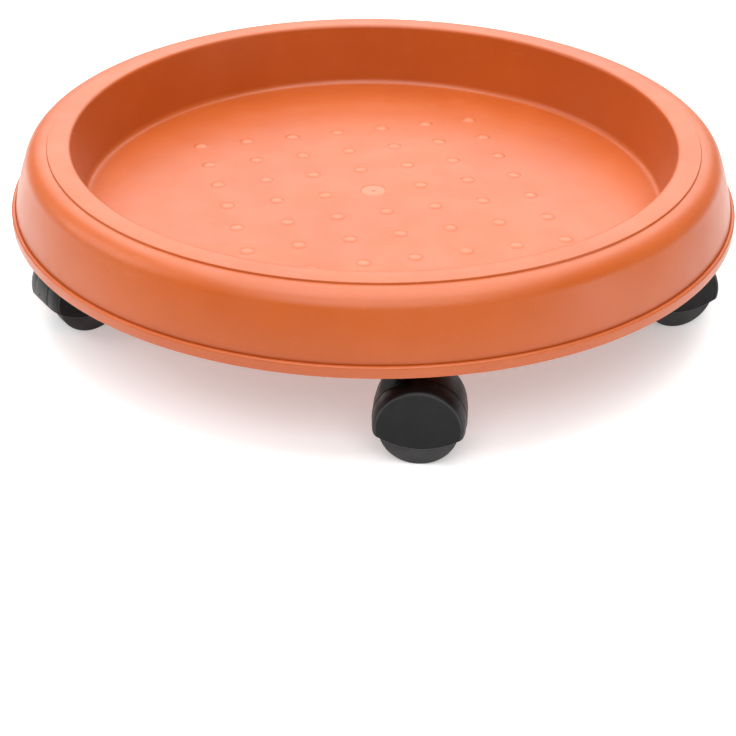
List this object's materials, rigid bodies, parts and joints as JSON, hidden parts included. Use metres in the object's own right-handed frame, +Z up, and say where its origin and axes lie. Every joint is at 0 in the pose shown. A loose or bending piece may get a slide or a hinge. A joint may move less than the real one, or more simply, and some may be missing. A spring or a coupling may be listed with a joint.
{
  "type": "plant pot caddy",
  "caption": "Round moulded tray for a plant pot, with a hollow rim and a bumped floor, on hooded twin-wheel swivel casters.",
  "frame": {"origin": "on the ground under the centre of the round tray", "axes": "+Z up, -Y towards the caster that the picture shows at the front, +X to its right"},
  "size_m": [0.35, 0.35, 0.078],
  "materials": {
    "tray_plastic": "satin terracotta moulded plastic with a very fine grain",
    "caster_plastic": "satin black moulded plastic",
    "wheel_plastic": "matt black moulded plastic, slightly greyer than the hoods",
    "steel": "plain bright steel"
  },
  "bodies": {
    "tray": {"tray": "tray_plastic", "caster_1_grip_ring": "steel", "caster_2_grip_ring": "steel", "caster_3_grip_ring": "steel", "caster_4_grip_ring": "steel", "caster_5_grip_ring": "steel"},
    "caster_1": {"caster_1_hood": "caster_plastic", "caster_1_pin": "steel", "caster_1_axle": "steel"},
    "caster_1_left_wheel": {"caster_1_wheel_left": "wheel_plastic"},
    "caster_1_right_wheel": {"caster_1_wheel_right": "wheel_plastic"},
    "caster_2": {"caster_2_hood": "caster_plastic", "caster_2_pin": "steel", "caster_2_axle": "steel"},
    "caster_2_left_wheel": {"caster_2_wheel_left": "wheel_plastic"},
    "caster_2_right_wheel": {"caster_2_wheel_right": "wheel_plastic"},
    "caster_3": {"caster_3_hood": "caster_plastic", "caster_3_pin": "steel", "caster_3_axle": "steel"},
    "caster_3_left_wheel": {"caster_3_wheel_left": "wheel_plastic"},
    "caster_3_right_wheel": {"caster_3_wheel_right": "wheel_plastic"},
    "caster_4": {"caster_4_hood": "caster_plastic", "caster_4_pin": "steel", "caster_4_axle": "steel"},
    "caster_4_left_wheel": {"caster_4_wheel_left": "wheel_plastic"},
    "caster_4_right_wheel": {"caster_4_wheel_right": "wheel_plastic"},
    "caster_5": {"caster_5_hood": "caster_plastic", "caster_5_pin": "steel", "caster_5_axle": "steel"},
    "caster_5_left_wheel": {"caster_5_wheel_left": "wheel_plastic"},
    "caster_5_right_wheel": {"caster_5_wheel_right": "wheel_plastic"}
  },
  "joints": [
    {"name": "caster_1_swivel", "type": "hinge", "parent": "tray", "child": "caster_1", "pos_m": [0.01022, -0.15807, 0.05], "axis": [0, 0, 1], "continuous": true},
    {"name": "caster_1_left_spin", "type": "hinge", "parent": "caster_1", "child": "caster_1_left_wheel", "pos_m": [0.02059, -0.15887, 0.0168], "axis": [0.0767, 0.9971, 0], "continuous": true},
    {"name": "caster_1_right_spin", "type": "hinge", "parent": "caster_1", "child": "caster_1_right_wheel", "pos_m": [0.02059, -0.15887, 0.0168], "axis": [0.0767, 0.9971, 0], "continuous": true},
    {"name": "caster_2_swivel", "type": "hinge", "parent": "tray", "child": "caster_2", "pos_m": [0.15349, -0.03913, 0.05], "axis": [0, 0, 1], "continuous": true},
    {"name": "caster_2_left_spin", "type": "hinge", "parent": "caster_2", "child": "caster_2_left_wheel", "pos_m": [0.14336, -0.04146, 0.0168], "axis": [0.225, -0.9744, 0], "continuous": true},
    {"name": "caster_2_right_spin", "type": "hinge", "parent": "caster_2", "child": "caster_2_right_wheel", "pos_m": [0.14336, -0.04146, 0.0168], "axis": [0.225, -0.9744, 0], "continuous": true},
    {"name": "caster_3_swivel", "type": "hinge", "parent": "tray", "child": "caster_3", "pos_m": [0.08464, 0.13389, 0.05], "axis": [0, 0, 1], "continuous": true},
    {"name": "caster_3_left_spin", "type": "hinge", "parent": "caster_3", "child": "caster_3_left_wheel", "pos_m": [0.07612, 0.12792, 0.0168], "axis": [0.5736, -0.8192, 0], "continuous": true},
    {"name": "caster_3_right_spin", "type": "hinge", "parent": "caster_3", "child": "caster_3_right_wheel", "pos_m": [0.07612, 0.12792, 0.0168], "axis": [0.5736, -0.8192, 0], "continuous": true},
    {"name": "caster_4_swivel", "type": "hinge", "parent": "tray", "child": "caster_4", "pos_m": [-0.10118, 0.12187, 0.05], "axis": [0, 0, 1], "continuous": true},
    {"name": "caster_4_left_spin", "type": "hinge", "parent": "caster_4", "child": "caster_4_left_wheel", "pos_m": [-0.09321, 0.11519, 0.0168], "axis": [0.6428, 0.766, 0], "continuous": true},
    {"name": "caster_4_right_spin", "type": "hinge", "parent": "caster_4", "child": "caster_4_right_wheel", "pos_m": [-0.09321, 0.11519, 0.0168], "axis": [0.6428, 0.766, 0], "continuous": true},
    {"name": "caster_5_swivel", "type": "hinge", "parent": "tray", "child": "caster_5", "pos_m": [-0.14718, -0.05857, 0.05], "axis": [0, 0, 1], "continuous": true},
    {"name": "caster_5_left_spin", "type": "hinge", "parent": "caster_5", "child": "caster_5_left_wheel", "pos_m": [-0.13876, -0.05246, 0.0168], "axis": [-0.5878, 0.809, 0], "continuous": true},
    {"name": "caster_5_right_spin", "type": "hinge", "parent": "caster_5", "child": "caster_5_right_wheel", "pos_m": [-0.13876, -0.05246, 0.0168], "axis": [-0.5878, 0.809, 0], "continuous": true}
  ]
}
